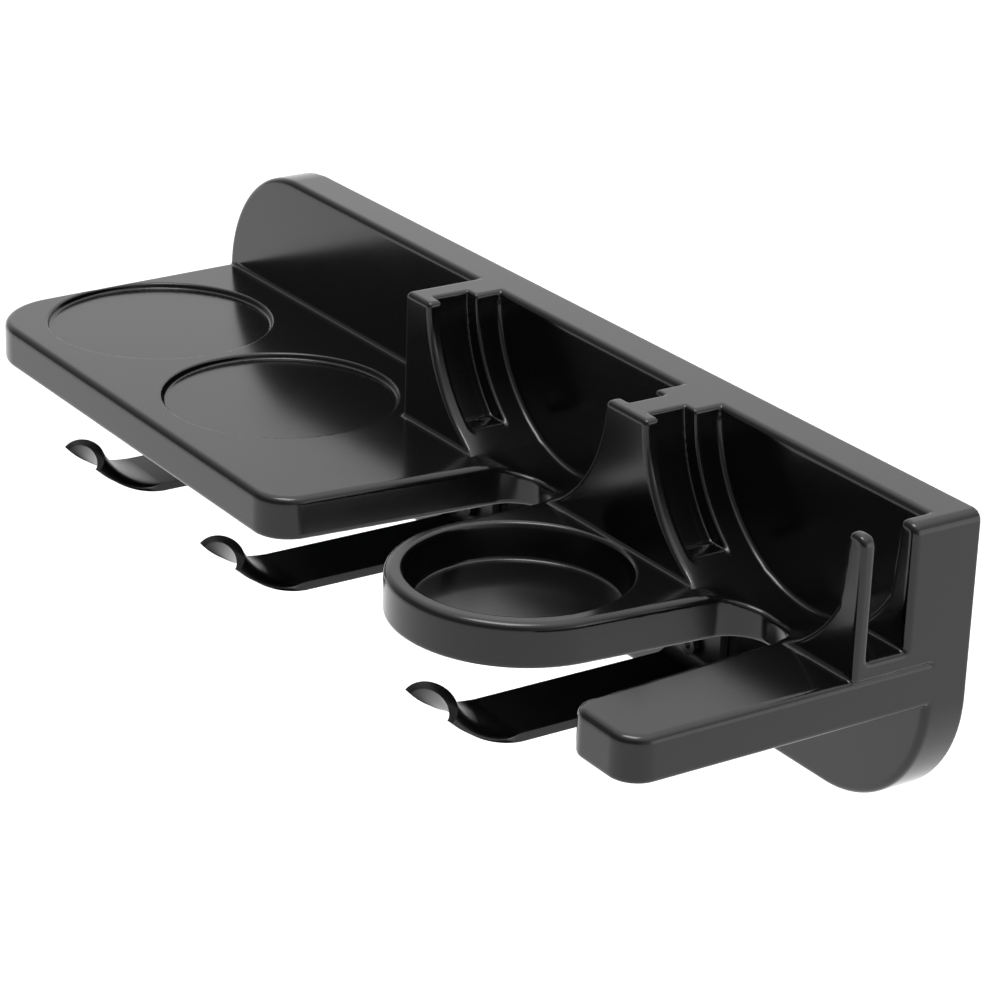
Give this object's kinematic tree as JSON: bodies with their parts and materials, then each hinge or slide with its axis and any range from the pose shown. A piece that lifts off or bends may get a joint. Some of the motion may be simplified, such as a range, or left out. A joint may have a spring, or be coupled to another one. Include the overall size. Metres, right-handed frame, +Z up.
{
  "type": "salon styling station",
  "caption": "Wall-held rest for salon tools: a shelf with shallow dishes, a cup for a dryer nozzle, open slots for cords, half-round saddles above and strap hooks below.",
  "frame": {"origin": "centre of the flat rear face that goes against the wall", "axes": "+X along the wall from the dishes' end to the short arm's end, +Y out of the rear face into the wall, so users stand on the -Y side, +Z up"},
  "size_m": [0.43, 0.1285, 0.1076],
  "materials": {
    "black_plastic": "satin-gloss injection-moulded black with a fine grain",
    "steel": "bright zinc-plated steel",
    "black_steel": "black-coated steel",
    "brass": "plain turned brass"
  },
  "bodies": {
    "root": {"body_shell": "black_plastic", "underside_cover": "black_plastic", "back_plate": "black_plastic", "keyhole_hanger_left": "steel", "keyhole_hanger_right": "steel", "hook_left": "black_plastic", "hook_middle": "black_plastic", "hook_right": "black_plastic", "cover_screw_1": "steel", "cover_screw_2": "steel", "cover_screw_3": "steel", "cover_screw_4": "steel", "cover_screw_5": "steel", "cover_screw_6": "steel", "cover_screw_7": "steel", "cover_screw_8": "steel", "cover_screw_9": "steel", "back_plate_screw_1": "steel", "back_plate_screw_2": "steel", "back_plate_screw_3": "steel", "back_plate_screw_4": "steel", "back_plate_screw_5": "steel", "back_plate_screw_6": "steel", "back_plate_screw_7": "steel", "back_plate_screw_8": "steel", "hanger_screw_1": "steel", "hanger_screw_2": "steel", "hanger_screw_3": "steel", "hanger_screw_4": "steel", "hook_screw_1": "black_steel", "hook_screw_2": "black_steel", "hook_screw_3": "black_steel", "hook_screw_4": "black_steel", "hook_screw_5": "black_steel", "hook_screw_6": "black_steel", "threaded_insert_1": "brass", "threaded_insert_2": "brass", "threaded_insert_3": "brass", "threaded_insert_4": "brass", "threaded_insert_5": "brass", "threaded_insert_6": "brass"}
  },
  "joints": []
}
